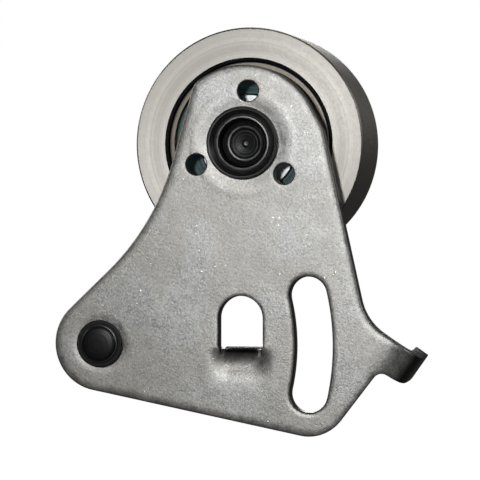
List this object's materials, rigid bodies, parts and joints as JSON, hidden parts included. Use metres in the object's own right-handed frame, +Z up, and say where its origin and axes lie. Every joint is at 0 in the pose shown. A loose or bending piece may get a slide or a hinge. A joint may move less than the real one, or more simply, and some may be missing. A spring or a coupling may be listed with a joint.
{
  "type": "belt tensioner idler",
  "caption": "Flat belt pulley on a sealed ball bearing, carried by a pressed steel bracket that swings on a pivot pin and is clamped through a curved slot.",
  "frame": {"origin": "centre of the pivot pin's rear end face, which goes into the engine boss", "axes": "+Z up as installed, +X from the pivot towards the clamp slot, +Y along the pivot and the axle towards the engine; the bracket's front face looks to -Y"},
  "size_m": [0.1056, 0.0355, 0.1152],
  "materials": {
    "raw_steel": "tumbled bare sheet steel",
    "turned_steel": "fine turned",
    "ground_steel": "ground",
    "ball_steel": "polished",
    "black_oxide": "black oxide, lightly oiled",
    "zinc_steel": "zinc plated",
    "seal_rubber": "matt moulded"
  },
  "bodies": {
    "pivot": {"pivot_pin": "black_oxide", "pivot_washer": "zinc_steel", "pivot_circlip": "black_oxide"},
    "bracket": {"bracket_plate": "raw_steel", "pivot_bush": "black_oxide", "axle_pin": "black_oxide", "axle_spacer": "zinc_steel", "bearing_inner_ring": "ground_steel"},
    "pulley": {"pulley_rim": "turned_steel", "bearing_outer_ring": "ground_steel", "bearing_front_seal": "seal_rubber", "bearing_rear_seal": "seal_rubber"},
    "cage": {"cage_front": "zinc_steel", "cage_rear": "zinc_steel", "cage_rivet_1": "zinc_steel", "cage_rivet_2": "zinc_steel", "cage_rivet_3": "zinc_steel", "cage_rivet_4": "zinc_steel", "cage_rivet_5": "zinc_steel", "cage_rivet_6": "zinc_steel", "cage_rivet_7": "zinc_steel", "cage_rivet_8": "zinc_steel"},
    "ball_1": {"bearing_ball_1": "ball_steel"},
    "ball_2": {"bearing_ball_2": "ball_steel"},
    "ball_3": {"bearing_ball_3": "ball_steel"},
    "ball_4": {"bearing_ball_4": "ball_steel"},
    "ball_5": {"bearing_ball_5": "ball_steel"},
    "ball_6": {"bearing_ball_6": "ball_steel"},
    "ball_7": {"bearing_ball_7": "ball_steel"},
    "ball_8": {"bearing_ball_8": "ball_steel"}
  },
  "joints": [
    {"name": "arm_swing", "type": "hinge", "parent": "pivot", "child": "bracket", "pos_m": [0, 0, 0], "axis": [0, 1, 0], "range_deg": [-12.8, 12.8]},
    {"name": "pulley_spin", "type": "hinge", "parent": "bracket", "child": "pulley", "pos_m": [0.0416, -0.0008, 0.0569], "axis": [0, 1, 0], "continuous": true},
    {"name": "cage_spin", "type": "hinge", "parent": "bracket", "child": "cage", "pos_m": [0.0416, -0.0008, 0.0569], "axis": [0, 1, 0], "continuous": true},
    {"name": "ball_1_roll", "type": "hinge", "parent": "cage", "child": "ball_1", "pos_m": [0.05835, -0.0008, 0.0569], "axis": [0, 1, 0], "continuous": true},
    {"name": "ball_2_roll", "type": "hinge", "parent": "cage", "child": "ball_2", "pos_m": [0.05344, -0.0008, 0.06874], "axis": [0, 1, 0], "continuous": true},
    {"name": "ball_3_roll", "type": "hinge", "parent": "cage", "child": "ball_3", "pos_m": [0.0416, -0.0008, 0.07365], "axis": [0, 1, 0], "continuous": true},
    {"name": "ball_4_roll", "type": "hinge", "parent": "cage", "child": "ball_4", "pos_m": [0.02976, -0.0008, 0.06874], "axis": [0, 1, 0], "continuous": true},
    {"name": "ball_5_roll", "type": "hinge", "parent": "cage", "child": "ball_5", "pos_m": [0.02485, -0.0008, 0.0569], "axis": [0, 1, 0], "continuous": true},
    {"name": "ball_6_roll", "type": "hinge", "parent": "cage", "child": "ball_6", "pos_m": [0.02976, -0.0008, 0.04506], "axis": [0, 1, 0], "continuous": true},
    {"name": "ball_7_roll", "type": "hinge", "parent": "cage", "child": "ball_7", "pos_m": [0.0416, -0.0008, 0.04015], "axis": [0, 1, 0], "continuous": true},
    {"name": "ball_8_roll", "type": "hinge", "parent": "cage", "child": "ball_8", "pos_m": [0.05344, -0.0008, 0.04506], "axis": [0, 1, 0], "continuous": true}
  ],
  "couplings": [
    {"joint": "cage_spin", "follows": "pulley_spin", "ratio": 0.6185},
    {"joint": "ball_1_roll", "follows": "pulley_spin", "ratio": 1.991},
    {"joint": "ball_2_roll", "follows": "pulley_spin", "ratio": 1.991},
    {"joint": "ball_3_roll", "follows": "pulley_spin", "ratio": 1.991},
    {"joint": "ball_4_roll", "follows": "pulley_spin", "ratio": 1.991},
    {"joint": "ball_5_roll", "follows": "pulley_spin", "ratio": 1.991},
    {"joint": "ball_6_roll", "follows": "pulley_spin", "ratio": 1.991},
    {"joint": "ball_7_roll", "follows": "pulley_spin", "ratio": 1.991},
    {"joint": "ball_8_roll", "follows": "pulley_spin", "ratio": 1.991}
  ]
}
